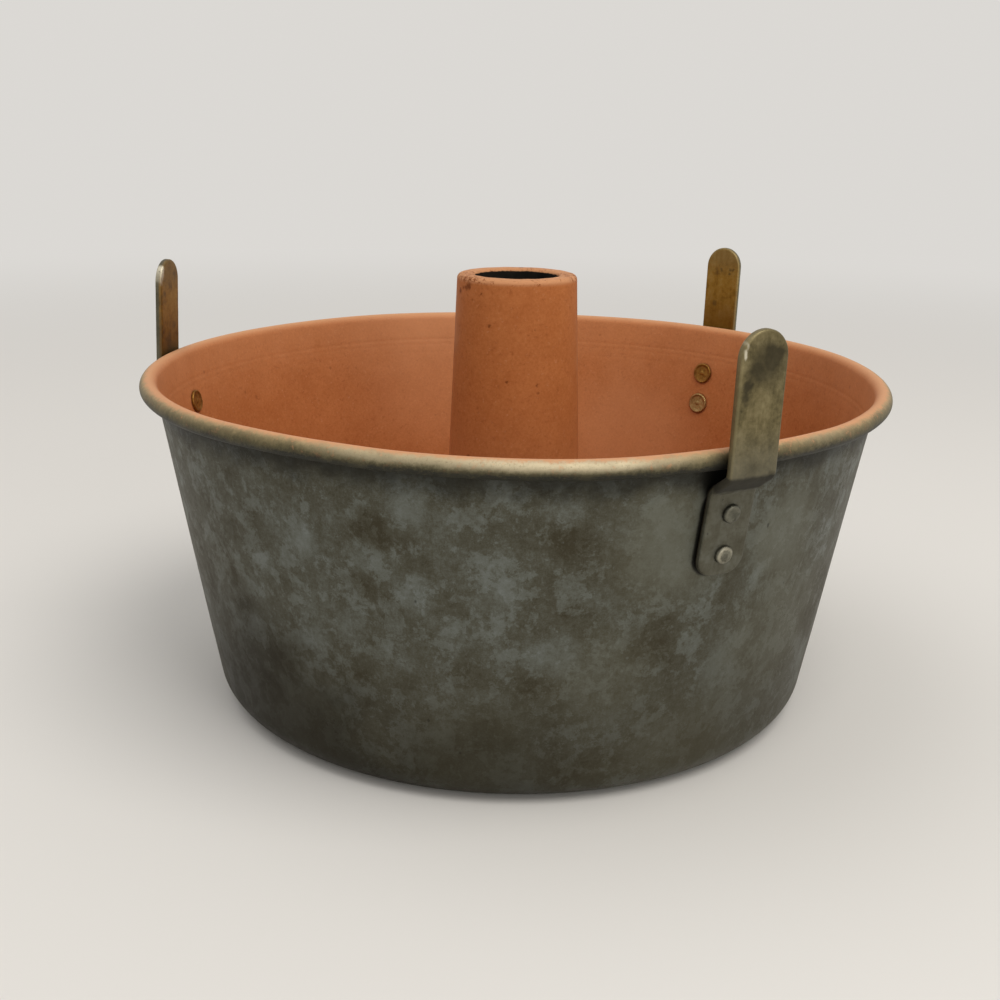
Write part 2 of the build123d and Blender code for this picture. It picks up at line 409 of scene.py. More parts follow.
def make_shell():
    inward = 180 - WALL_LEAN
    wall_cut = math.degrees(math.acos(CHANNEL_RADIUS / BEAD_RADIUS))
    curl_end = inward + wall_cut + CURL_SEAM_ANGLE - 360
    middle_radius = BEAD_RADIUS - SHEET / 2
    line = trace(
        SHELL_SPACING,
        (OPENING_RADIUS + SHEET / 2, SHEET / 2),
        arc(CORNER_CENTRE, CORNER_RADIUS - SHEET / 2, -90, -WALL_LEAN),
        wall_line_at(MID_WALL_HEIGHT),
        trace(SPIN_LINE_SPACING, *(wall_line_at(height) for height in SPIN_LINE_SPAN)),
        arc(BEAD_CENTRE, middle_radius, inward, curl_end, BEAD_ARC_STEPS),
    )
    outline, places, sides = thicken(line, SHEET)
    last = distances(line)[-1] - math.radians(COATING_EDGE_ANGLE - curl_end) * middle_radius
    coat = coated(places, sides, last=last)
    for height, depth in zip(SPIN_LINE_HEIGHTS, SPIN_LINE_DEPTHS):
        groove = depth * np.exp(-(((outline[:, 1] - height) / SPIN_LINE_WIDTH) ** 2))
        outline[:, 0] += np.where(coat > 0, groove, 0)
    return make_sheet("shell_skin", "shell", "pan_shell", outline, coat, SHELL_STEPS, shell_shape)


def wall_line_at(height):
    """The middle of the wall's sheet at a height."""
    return (FOOT_RADIUS + height * WALL_SLOPE - SHEET / 2 / WALL_COSINE, height)


# Bottom plate and centre tube

BOSS_RADIUS = TUBE_FOOT_RADIUS + BOSS_FLAT_WIDTH
BOSS_FOOT_RADIUS = BOSS_RADIUS + BOSS_RAMP_WIDTH
BOSS_UNDERSIDE = PANEL_LIFT + BOSS_RISE
BOSS_TOP = BOSS_UNDERSIDE + SHEET


def make_plate():
    level = PANEL_LIFT + SHEET / 2
    boss_level = BOSS_UNDERSIDE + SHEET / 2
    seat_level = SHEET * 3 / 2
    hole = (TUBE_FOOT_RADIUS + TUBE_HOLE_CLEARANCE + SHEET / 2, boss_level)
    boss_edge = (BOSS_RADIUS, boss_level)
    ramp_foot = (BOSS_FOOT_RADIUS, level)
    step_foot = (OPENING_RADIUS - LOCATING_CLEARANCE - SHEET, level)
    step_top = (OPENING_RADIUS - LOCATING_CLEARANCE, seat_level)
    rim = (PLATE_RADIUS - SHEET / 2, seat_level)
    crest_radius = (RING_WIDTH**2 / 4 + RING_RISE**2) / (2 * RING_RISE)
    crest_angle = math.degrees(math.asin(RING_WIDTH / 2 / crest_radius))
    line = trace(
        PLATE_SPACING,
        hole,
        bend(hole, boss_edge, ramp_foot, BOSS_BEND_RADIUS),
        bend(boss_edge, ramp_foot, step_foot, BOSS_BEND_RADIUS),
        arc((RING_RADIUS, level + RING_RISE - crest_radius), crest_radius, 90 + crest_angle, 90 - crest_angle, 10),
        bend(ramp_foot, step_foot, step_top, STEP_BEND_RADIUS),
        bend(step_foot, step_top, rim, STEP_BEND_RADIUS),
        rim,
    )
    outline, places, sides = thicken(line, SHEET)

    def shape(radius, height, turns):
        inner = smooth(radius, BOSS_FOOT_RADIUS, BOSS_FOOT_RADIUS + BOSS_RAMP_WIDTH)
        outer = 1 - smooth(radius, 0.8 * PLATE_RADIUS, 0.9 * PLATE_RADIUS)
        waves = np.abs(ripples(turns, radius, seed=5, strength=PLATE_RIPPLE))
        return radius, height + inner * outer * waves

    coat = coated(places, sides)
    return make_sheet("plate_skin", "insert", "bottom_plate", outline, coat, PLATE_STEPS, shape)


ROLL_CENTRE = np.array((TUBE_TOP_RADIUS - LIP_ROLL_RADIUS, TUBE_HEIGHT - LIP_ROLL_RADIUS))
INNER_ROLL_CENTRE = np.array((ROLL_CENTRE[0] - LIP_FLAT_WIDTH, TUBE_HEIGHT - LIP_INNER_ROLL_RADIUS))


def make_tube():
    lock_top = np.array((TUBE_FOOT_RADIUS, BOSS_TOP + 2 * LOCK_BEAD_RADIUS))
    rise = ROLL_CENTRE - lock_top
    side_lean = math.degrees(math.asin(LIP_ROLL_RADIUS / np.linalg.norm(rise)) - math.atan2(rise[0], rise[1]))
    inner_middle = LIP_INNER_ROLL_RADIUS - SHEET / 2
    mouth = (INNER_ROLL_CENTRE[0] - inner_middle, INNER_ROLL_CENTRE[1] - MOUTH_WALL_LENGTH + SHEET / 2)
    lock = arc(
        (TUBE_FOOT_RADIUS - SHEET / 2, BOSS_TOP + LOCK_BEAD_RADIUS), LOCK_BEAD_RADIUS - SHEET / 4, 90, -90, 10
    )
    foot = (TUBE_FOOT_RADIUS - SHEET / 2, BOSS_UNDERSIDE - SHEET / 2)
    flange = (TUBE_FOOT_RADIUS + FLANGE_WIDTH - SHEET / 2, BOSS_UNDERSIDE - SHEET / 2)
    line = trace(
        TUBE_SPACING,
        mouth,
        arc(INNER_ROLL_CENTRE, inner_middle, 180, 90),
        arc(ROLL_CENTRE, LIP_ROLL_RADIUS - SHEET / 2, 90, side_lean),
        lock,
        bend(lock[-1], foot, flange, FLANGE_BEND_RADIUS),
        flange,
    )
    outline, places, sides = thicken(line, SHEET)
    first = MOUTH_WALL_LENGTH - SHEET / 2 + math.radians(180 - MOUTH_EDGE_ANGLE) * inner_middle
    last = distances(line)[-1] - FLANGE_WIDTH - 2 * SHEET
    coat = coated(places, sides, first, last)

    def shape(radius, height, turns):
        lip = smooth(height, ROLL_CENTRE[1], TUBE_HEIGHT)
        sag = np.abs(ripples(turns, radius, seed=11, strength=LIP_SAG))
        swell = ripples(turns, height, seed=12, strength=TUBE_RIPPLE)
        return radius + (1 - lip) * swell, height - lip * sag

    return make_sheet("tube_skin", "insert", "centre_tube", outline, coat, TUBE_STEPS, shape)


# Legs: a flat pattern in (across, along), bent to its line and set at its turn


def leg_line(lean, rim_gap):
    """The bar's middle line seen from the side, from the tab's foot to the tip."""
    half_bar = LEG_THICKNESS / 2
    out = (TAB_CLEARANCE + half_bar) / WALL_COSINE
    underside = RIM_HEIGHT - 2 * BEAD_RADIUS
    foot, start = (
        (FOOT_RADIUS + height * WALL_SLOPE + out, height)
        for height in (RIM_HEIGHT - TAB_DROP, underside - JOGGLE_START_DROP)
    )
    slope = math.tan(math.radians(lean))
    tip_height = TIP_HEIGHT - half_bar * abs(slope)
    end, tip = (
        (RIM_RADIUS + rim_gap + half_bar + (height - BEAD_CENTRE[1]) * slope, height)
        for height in (underside - JOGGLE_END_DROP, tip_height)
    )
    radius = BEND_RADIUS + half_bar
    bends = (bend(*corner, radius, 10) for corner in ((foot, start, end), (start, end, tip)))
    return trace(LEG_LINE_SPACING, foot, *bends, tip)


def leg_pattern(length):
    """The flat bar's outline, anticlockwise from the foot, as points and outward directions."""
    half = LEG_WIDTH / 2
    corner_side = half - TAB_CORNER_RADIUS
    rounds = (
        ((corner_side, TAB_CORNER_RADIUS), TAB_CORNER_RADIUS, -90, 0, 12),
        ((0, length - half), half, 0, 180, 36),
        ((-corner_side, TAB_CORNER_RADIUS), TAB_CORNER_RADIUS, 180, 270, 12),
    )
    edge = trace(LEG_OUTLINE_SPACING, *(arc(*values) for values in rounds), (corner_side, 0))[:-1]
    ahead = np.roll(edge, -1, axis=0) - np.roll(edge, 1, axis=0)
    ahead /= np.linalg.norm(ahead, axis=1)[:, None]
    return edge, np.column_stack((ahead[:, 1], -ahead[:, 0]))


def leg_face(edge):
    """Triangles that fill an outline, with points spread inside it."""
    low, high = edge.min(0), edge.max(0)
    spacing = LEG_FACE_SPACING
    across = np.arange(low[0] + spacing, high[0] - spacing / 2, spacing)
    along = np.arange(low[1] + spacing, high[1] - spacing / 2, spacing)
    grid = np.stack(np.meshgrid(across, along), -1).reshape(-1, 2)
    apart = np.linalg.norm(grid[:, None] - edge[None], axis=2).min(1) > spacing / 2
    inside = np.array([winding(edge, point) for point in grid])
    points = np.vstack((edge, grid[apart & inside]))
    count = len(edge)
    loop = [(index, (index + 1) % count) for index in range(count)]
    _, _, faces, origins, _, _ = delaunay_2d_cdt([Vector(point) for point in points], loop, [], 1, 1e-7)
    number = [origin[0] for origin in origins]
    return points[count:], [tuple(number[corner] for corner in face) for face in faces]


def winding(edge, point):
    """True where a point is inside a closed outline."""
    angles = np.arctan2(edge[:, 1] - point[1], edge[:, 0] - point[0])
    steps = (np.diff(angles, append=angles[0]) + math.pi) % (2 * math.pi) - math.pi
    return abs(steps.sum()) > math.pi


def make_leg(place, turn, lean, rim_gap):
    line = leg_line(lean, rim_gap)
    along = distances(line)
    left = normals(line)
    length = along[-1]
    edge, out = leg_pattern(length)
    half_bar = LEG_THICKNESS / 2
    # Rings of the rounded edge: inset from the outline, and depth towards the outside of the pan
    angles = np.linspace(0, 90, 7)
    rolls = [(LEG_EDGE_RADIUS * (1 - math.sin(math.radians(a))), math.cos(math.radians(a))) for a in angles]
    rings = [(inset, half_bar - LEG_EDGE_RADIUS * (1 - rise)) for inset, rise in rolls]
    rings += [(0.0, 0.0)] + [(inset, -depth) for inset, depth in reversed(rings)]
    wear = np.array([noise.noise(Vector((*point, turn * MM)) / EDGE_WEAR_SIZE) for point in edge])[:, None]
    points, insets = [], []
    for inset, depth in rings:
        ring = edge - out * (inset + EDGE_WEAR * np.abs(wear))
        points.append(np.column_stack((ring, np.full(len(ring), depth))))
        insets.append(np.full(len(ring), inset))
    count = len(edge)
    faces = grid_faces(len(rings), count, wrap_rows=False)
    for ring, depth in ((0, half_bar), (len(rings) - 1, -half_bar)):
        inner, triangles = leg_face(points[ring][:, :2])
        offset = sum(len(part) for part in points) - count
        for face in triangles:
            faces.append(tuple(corner + (ring * count if corner < count else offset) for corner in face))
        points.append(np.column_stack((inner, np.full(len(inner), depth))))
        insets.append(np.full(len(inner), LEG_WIDTH))
    flat = np.vstack(points)
    uneven = np.array([noise.noise(Vector((*point[:2], turn * MM)) / UNEVEN_SIZE) for point in flat])
    depth = flat[:, 2] * (1 - UNEVEN_SHARE * np.abs(uneven))
    radius = np.interp(flat[:, 1], along, line[:, 0]) - np.interp(flat[:, 1], along, left[:, 0]) * depth
    height = np.interp(flat[:, 1], along, line[:, 1]) - np.interp(flat[:, 1], along, left[:, 1]) * depth
    shaped = turned(np.column_stack((radius, flat[:, 0], height)), turn)
    bar = np.column_stack((flat[:, 0], length - flat[:, 1], flat[:, 2]))
    fields = {"bar": bar, "inset": np.concatenate(insets)}
    return make_piece(f"leg_bar_{place}", shaped, faces, "shell", f"leg_{place}", fields)


# Rivets: hammered heads on one shank, drawn along the wall's normal


def rivet_outline():
    """From the middle of the inner head to the middle of the outer head; heights count outward."""
    seat = -(SHEET + SEAT_HOLLOW + SEAT_CLEARANCE)
    face = seat - INNER_HEAD_THICKNESS
    outer_seat = TAB_CLEARANCE + LEG_THICKNESS
    top = outer_seat + OUTER_HEAD_HEIGHT
    inner_roll = (INNER_HEAD_RADIUS - INNER_HEAD_ROLL, face + INNER_HEAD_ROLL)
    outer_roll = (OUTER_HEAD_RADIUS - OUTER_HEAD_ROLL, top - OUTER_HEAD_ROLL - OUTER_HEAD_SHOULDER)
    return trace(
        RIVET_SPACING,
        *((radius * MM, face + rise * MM) for radius, rise in INNER_HEAD_FACE),
        arc(inner_roll, INNER_HEAD_ROLL, -110, 0, 8),
        (INNER_HEAD_RADIUS, seat),
        (SHANK_RADIUS, seat),
        (SHANK_RADIUS, outer_seat),
        (OUTER_HEAD_RADIUS, outer_seat),
        arc(outer_roll, OUTER_HEAD_ROLL, 0, 78, 10),
        *((radius * MM, top - drop * MM) for radius, drop in OUTER_HEAD_CROWN),
    )


def make_rivet(place, level, turn):
    outline = rivet_outline()
    seed = turn + RIVET_DROPS[level] / MM

    def hammered(radius, height, turns):
        dents = np.empty(radius.shape)
        for row, angle in enumerate(turns[:, 0]):
            for column in range(radius.shape[1]):
                across = radius[row, column]
                spot = Vector((across * math.sin(angle), across * math.cos(angle), seed * MM))
                dents[row, column] = noise.noise(spot / HAMMER_SIZE)
        heads = np.where(height < 0, -1.0, 1.0) * smooth(np.abs(height), 1.2 * MM, 2.0 * MM)
        return radius * (1 + HAMMER_SPREAD * dents), height - heads * HAMMER_DEPTH * np.abs(dents)

    local = lathe(outline, RIVET_STEPS, hammered)
    height = RIM_HEIGHT - RIVET_DROPS[level]
    base = np.array((FOOT_RADIUS + height * WALL_SLOPE, 0, height))
    outward = np.array((WALL_COSINE, 0, -math.sin(math.radians(WALL_LEAN))))
    upward = np.array((-outward[2], 0, outward[0]))
    sideways = np.array((0, 1, 0))
    shaped = base + local[:, :1] * sideways + local[:, 1:2] * upward + local[:, 2:] * outward
    name, node = f"rivet_body_{place}_{level}", f"rivet_{place}_{level}"
    faces = grid_faces(RIVET_STEPS, len(outline), wrap_columns=False)
    return make_piece(name, turned(shaped, turn), faces, "shell", node, {"local": local})


# Materials


class Flow:
    """A number on its way through a material. Sums and products become math nodes."""

    def __init__(self, finish, socket):
        self.finish = finish
        self.socket = socket

    def __add__(self, other):
        return self.finish.math("ADD", self, other)

    def __sub__(self, other):
        return self.finish.math("SUBTRACT", self, other)

    def __rsub__(self, other):
        return self.finish.math("SUBTRACT", other, self)

    def __mul__(self, other):
        return self.finish.math("MULTIPLY", self, other)

    __radd__ = __add__
    __rmul__ = __mul__


class Graph:
    """Short calls for the nodes of a material or a world."""

    def __init__(self, owner):
        owner.use_nodes = True
        self.tree = owner.node_tree
        self.nodes = self.tree.nodes

    def node(self, kind, inputs=(), **settings):
        """A new node, with a value or a link for each input that is named or numbered."""
        made = self.nodes.new(kind)
        for key, value in settings.items():
            setattr(made, key, value)
        for key, value in dict(inputs).items():
            self.feed(made.inputs[key], value)
        return made

    def feed(self, socket, value):
        value = value.socket if isinstance(value, Flow) else value
        if isinstance(value, bpy.types.NodeSocket):
            self.tree.links.new(value, socket)
        elif isinstance(value, tuple) and len(value) == 3 and socket.type == "RGBA":
            socket.default_value = (*value, 1)
        else:
            socket.default_value = value

    def math(self, operation, *values):
        return Flow(self, self.node("ShaderNodeMath", enumerate(values), operation=operation).outputs[0])

    def vector(self, operation, *values):
        """A place or direction, or a number where the operation gives one."""
        made = self.node("ShaderNodeVectorMath", enumerate(values), operation=operation)
        gives_number = operation in ("DISTANCE", "DOT_PRODUCT", "LENGTH")
        return Flow(self, made.outputs["Value"]) if gives_number else made.outputs[0]


class Finish(Graph):
    """A material with one Principled shader."""

    def __init__(self, name):
        self.material = bpy.data.materials.new(name)
        super().__init__(self.material)
        self.shader = self.nodes["Principled BSDF"]
        self.place = self.node("ShaderNodeTexCoord").outputs["Object"]
        self.height = self.part(self.place, 2)

    def field(self, name):
        return Flow(self, self.node("ShaderNodeAttribute", attribute_name=name).outputs["Fac"])

    def field_place(self, name):
        return self.node("ShaderNodeAttribute", attribute_name=name).outputs["Vector"]

    def part(self, place, axis):
        return Flow(self, self.node("ShaderNodeSeparateXYZ", {0: place}).outputs[axis])

    def scaled(self, place, factors):
        return self.vector("MULTIPLY", place, factors)

    def noise(self, size, detail=4.0, rough=0.55, twist=0.0, place=None, seed=0.0):
        inputs = {
            "Vector": place or self.place,
            "W": seed,
            "Scale": 1 / size,
            "Detail": detail,
            "Roughness": rough,
            "Distortion": twist,
        }
        return Flow(self, self.node("ShaderNodeTexNoise", inputs, noise_dimensions="4D").outputs[0])

    def warped(self, size, reach, place=None, detail=2.0):
        """The surface's place, pushed about by a noise so that shapes drawn on it come out uneven."""
        place = place or self.place
        made = self.node("ShaderNodeTexNoise", {"Vector": place, "Scale": 1 / size, "Detail": detail})
        push = self.vector("MULTIPLY_ADD", made.outputs[1], (2 * reach,) * 3, (-reach,) * 3)
        return self.vector("ADD", place, push)

    def dots(self, spacing, radius, share, place=None):
        """Small scattered dots, where share is how many of the cells hold one."""
        made = self.node("ShaderNodeTexVoronoi", {"Vector": place or self.place, "Scale": 1 / spacing})
        chosen = self.step(self.part(made.outputs["Color"], 0), 1 - share, 1.001 - share)
        near = self.step(Flow(self, made.outputs["Distance"]), radius / spacing, 0.5 * radius / spacing)
        return chosen * near

    def step(self, value, low, high):
        """A smooth rise from 0 at low to 1 at high, or a fall where low is above high."""
        rising = low < high
        inputs = {
            0: value,
            "From Min": low if rising else high,
            "From Max": high if rising else low,
            "To Min": 0.0 if rising else 1.0,
            "To Max": 1.0 if rising else 0.0,
        }
        return Flow(self, self.node("ShaderNodeMapRange", inputs, interpolation_type="SMOOTHSTEP").outputs[0])

    def ramp(self, value, *stops):
        made = self.node("ShaderNodeValToRGB", {0: value})
        elements = made.color_ramp.elements
        while len(elements) < len(stops):
            elements.new(0.5)
        for element, (share, colour) in zip(elements, stops):
            element.position = share
            element.color = (*colour, 1)
        return made.outputs[0]

    def mix(self, factor, first, second, kind="MIX"):
        inputs = {"Factor": factor, 6: first, 7: second}
        return self.node("ShaderNodeMix", inputs, data_type="RGBA", blend_type=kind).outputs[2]

    def layers(self, colour, *layers):
        """A colour under layers, each with its share and its own colour."""
        for share, above in layers:
            colour = self.mix(share, colour, above)
        return colour

    def blend(self, factor, first, second):
        """A number between two others."""
        inputs = {"Factor": factor, 2: first, 3: second}
        return Flow(self, self.node("ShaderNodeMix", inputs, data_type="FLOAT").outputs[0])

    def capped(self, value, most=1.0):
        return self.math("MINIMUM", value, most)

    def spots(self, spots, place, core_share=0.25):
        """Soft patches: each spot is a place, a radius and a strength, full within its core."""
        total = 0.0
        for centre, radius, strength in spots:
            away = self.vector("DISTANCE", place, tuple(centre))
            total = self.step(away, radius, core_share * radius) * strength + total
        return total

    def along(self, centre, way):
        """Distance from a place along a unit direction."""
        return self.vector("DOT_PRODUCT", self.vector("SUBTRACT", self.place, tuple(centre)), way)

    def beyond(self, value, reach):
        """How far a value's size passes a reach, or zero within it."""
        return self.math("MAXIMUM", self.math("ABSOLUTE", value) - reach, 0.0)

    def length(self, *parts):
        return self.vector("LENGTH", self.node("ShaderNodeCombineXYZ", enumerate(parts)).outputs[0])

    def finish(self, colour, roughness, metallic, relief, specular=0.5):
        """Relief is the surface's height in metres."""
        inputs = {
            "Base Color": colour,
            "Roughness": roughness,
            "Metallic": metallic,
            "Specular IOR Level": specular,
            "Normal": self.node("ShaderNodeBump", {"Distance": 1.0, "Height": relief}).outputs[0],
        }
        for name, value in inputs.items():
            self.feed(self.shader.inputs[name], value)
        return self.material


def at_turn(turn, radius, height):
    return Vector((radius * math.sin(math.radians(turn)), -radius * math.cos(math.radians(turn)), height))


def on_wall(turn, height):
    return at_turn(turn, FOOT_RADIUS + height * WALL_SLOPE, height)


def in_wall(turn, height):
    """On the inside of the wall."""
    return at_turn(turn, FOOT_RADIUS + height * WALL_SLOPE - SHEET / WALL_COSINE, height)


def on_bead(turn):
    return at_turn(turn, RIM_RADIUS - 0.3 * BEAD_RADIUS, BEAD_CENTRE[1] - 0.5 * BEAD_RADIUS)


def on_tube(turn, height):
    share = (height - BOSS_TOP) / (TUBE_HEIGHT - BOSS_TOP)
    return at_turn(turn, TUBE_FOOT_RADIUS + (TUBE_TOP_RADIUS - TUBE_FOOT_RADIUS) * share, height)


# Clouds on the outside of the wall: turn, height and radius in millimetres, and how pale (or dark) it is
# The dark ones at turns -60 and 61 are painted shade where the wall turns away at its sides, and the one at turn 24
# under the rim is partly painted shade beside the leg
WALL_CLOUDS = (
    (-13.7, 101, 10, 0.35), (-30, 84, 10, 0.5), (-39, 73, 6, 0.35), (-30.8, 51, 8, 0.55), (-28, 31, 8, 0.35),
    (-23.8, 59, 9, 0.4), (-13, 73, 9, 0.6), (-20.5, 83, 8, 0.3), (-1.2, 74, 11, 0.3), (-15, 48, 6, 0.25),
    (-18, 14, 9, 0.25), (6.4, 101, 8, 0.4), (5.5, 54, 11, 0.55), (12, 72, 8, 0.3), (21.5, 84, 8, 0.15),
    (34.1, 44, 12, 0.35), (42, 86, 16, 0.3), (36.5, 73, 9, 0.35), (-19, 92, 9, -0.55), (-20, 72, 7, -0.45),
    (-38.2, 41, 11, -0.5), (-47, 60, 12, -0.4), (-60, 62, 22, -0.35), (-20, 50, 6, -0.2), (-5.8, 47, 9, -0.4),
    (-2.9, 25, 14, -0.4), (4, 21, 8, -0.15), (-43, 25, 10, -0.35), (7.4, 91, 9, -0.3), (24, 100, 8, -0.3),
    (20.5, 57, 13, -0.5), (4.4, 41, 10, -0.35), (32.7, 16, 15, -0.3), (61, 50, 22, -0.3),
)
# Where the wall is browner, in the same way
WALL_WARM = (
    (23, 88, 30, 1), (43, 86, 24, 0.9), (46, 50, 36, 0.8), (14, 45, 24, 0.6), (-6, 20, 28, 0.7), (-36, 20, 26, 0.6),
    (30, 15, 30, 0.7), (130, 60, 50, 0.7), (-110, 50, 40, 0.7),
)
# Where the foot is darker, grime together with painted shade, in the same way
FOOT_GRIME_AND_SHADE = (
    (-47, 13, 62, 1), (-28, 4, 36, 0.4), (-6, 0, 52, 0.6), (150, 5, 44, 0.5), (-130, 8, 40, 0.5),
)
# Where the coating inside the wall is painted paler, as painted light, in the same way
WALL_PAINTED_LIGHT = (
    (-166, 100, 60, 0.28), (154, 62, 48, 0.36), (120, 40, 30, 0.2),
)
# Where the bead is rubbed bright and carries a painted highlight, in the same way
BEAD_RUBBED_AND_HIGHLIGHT = (
    (4, 122, 34, 1), (14, 122, 26, 0.5), (-14, 122, 34, 0.5), (44, 122, 18, 0.2), (-120, 122, 30, 0.7),
    (175, 122, 36, 0.8),
)
# Pits and chips in the tube's coating: turn, height and radius in millimetres, and strength
TUBE_PITS = (
    (-34.5, 144.9, 0.8, 0.9), (-25, 134.3, 0.9, 0.9), (-7.9, 115.3, 0.8, 0.9), (19.5, 113.9, 0.9, 0.9),
    (20.5, 111.4, 0.6, 0.7), (17, 133.4, 0.7, 0.6), (-45.1, 142.4, 0.7, 0.6), (-42.9, 87.1, 0.9, 0.8),
    (-50.5, 147.2, 1.7, 1), (-55, 146.4, 1.5, 0.9), (-60, 146, 1.1, 0.8), (-66.5, 144.8, 1.6, 0.9),
    (120, 128, 0.9, 0.9), (170, 96, 1, 0.8), (-130, 139, 1, 0.9),
)
# Places on the tube where the coating is rubbed thin; the two at turns -80 and -76 also paint the pale reflection
# along the tube's left edge
TUBE_WORN_AND_SHEEN = (
    (-80, 139, 9, 0.4), (-76, 128, 8, 0.5), (96, 120, 12, 0.4), (160, 142, 10, 0.5),
)
# Where the lip's coating is chipped most
LIP_CHIPS = (
    (-75, 148, 15, 1), (-40, 149, 9, 0.6), (85, 148, 14, 1), (160, 149, 14, 0.8), (10, 149, 12, 0.35),
)
# Pits in the coating inside the wall
WALL_PITS = (
    (-103.6, 106.3, 1, 0.8), (-138.6, 96.5, 0.9, 0.6), (-118.4, 90.4, 1.1, 0.5), (-115.4, 93.6, 0.9, 0.5),
    (94.8, 109.1, 1, 0.5), (109.9, 109.5, 0.8, 0.5), (162.2, 108.9, 0.8, 0.5), (20, 84, 1, 0.7), (-22, 61, 1.1, 0.7),
)


def spread(finish, table, locate, place):
    return finish.spots(
        [(locate(turn, height * MM), radius * MM, strength) for turn, height, radius, strength in table], place
    )


def coating_looks(finish, pits):
    """Matte fired coating: uneven tone, fine reddish specks and small brown pits."""
    tone = finish.noise(48 * MM, 3, 0.6, seed=1.0)
    cloud = finish.noise(7 * MM, 5, 0.65, seed=2.0)
    grain = finish.noise(0.9 * MM, 3, 0.7, seed=3.0)
    specks = finish.step(finish.noise(1.5 * MM, 3, 0.7, seed=4.0), 0.55, 0.70)
    pale = finish.step(finish.noise(1.2 * MM, 3, 0.7, seed=5.0), 0.58, 0.74)
    value = tone * 0.5 + cloud * 0.4 + grain * 0.7 - 0.3
    colour = finish.ramp(value, (0.30, COATING_DARK), (0.72, COATING_LIGHT))
    small = finish.dots(8 * MM, 0.35 * MM, 0.35)
    holes = finish.capped(pits + small * 0.7) * 0.85
    colour = finish.layers(colour, (specks * 0.45, COATING_SPECK), (pale * 0.30, COATING_DUST_AND_SHEEN), (holes, PIT))
    relief = grain * (0.025 * MM) + cloud * (0.05 * MM) - holes * (0.04 * MM)
    rough = finish.blend(grain, 0.52, 0.72)
    return colour, rough, relief


def wall_looks(finish):
    """Bare oxidised wall: mottled in several sizes, with crisp flakes, streaks up the wall and small dots."""
    drift = finish.warped(14 * MM, 5 * MM, detail=5.0)
    big = finish.noise(30 * MM, 4, 0.55, 0.4, seed=7.0)
    middle = finish.noise(11 * MM, 9, 0.68, 0.15, seed=8.0)
    flakes = finish.step(finish.noise(9 * MM, 9, 0.72, 0.25, seed=14.0), 0.50, 0.545)
    fine = finish.noise(1.8 * MM, 5, 0.75, seed=9.0)
    grain = finish.noise(0.5 * MM, 2, 0.6, seed=10.0)
    streaks = finish.noise(3.5 * MM, 5, 0.65, place=finish.scaled(finish.place, (1, 1, 0.12)), seed=11.0)
    placed = spread(finish, WALL_CLOUDS, on_wall, drift)
    warm = finish.capped(spread(finish, WALL_WARM, on_wall, drift))
    value = placed * 0.46 + (big - 0.5) * 0.5 + (middle - 0.5) * 0.84 + (flakes - 0.5) * 0.19 + (fine - 0.5) * 0.7
    value = (value + (streaks - 0.5) * 0.35 + (grain - 0.5) * 0.35) * (1 - warm * 0.56) + warm * 0.14 + 0.45
    metal = finish.ramp(value, (0.12, WALL_BROWN), (0.38, WALL_DULL), (0.60, WALL_GREY), (0.92, WALL_BLUE))
    flecks = finish.step(finish.noise(1.5 * MM, 3, 0.6, 0.3, seed=16.0), 0.62, 0.74)
    pale_dots = finish.dots(9 * MM, 0.7 * MM, 0.4) * 0.4 + flecks * 0.35
    dark_dots = finish.dots(11 * MM, 0.6 * MM, 0.5, place=finish.scaled(finish.place, (1, 1, 0.6)))
    metal = finish.layers(metal, (pale_dots, WALL_BLUE), (dark_dots * 0.6, SOOT_AND_SHADE))
    metal = finish.mix(finish.capped(warm + middle * 0.4), metal, WALL_WARMTH, "MULTIPLY")
    rough = finish.blend(value, 0.62, 0.46)
    relief = middle * (0.10 * MM) + fine * (0.05 * MM) + flakes * (0.02 * MM) + grain * (0.012 * MM)
    return metal, rough, relief


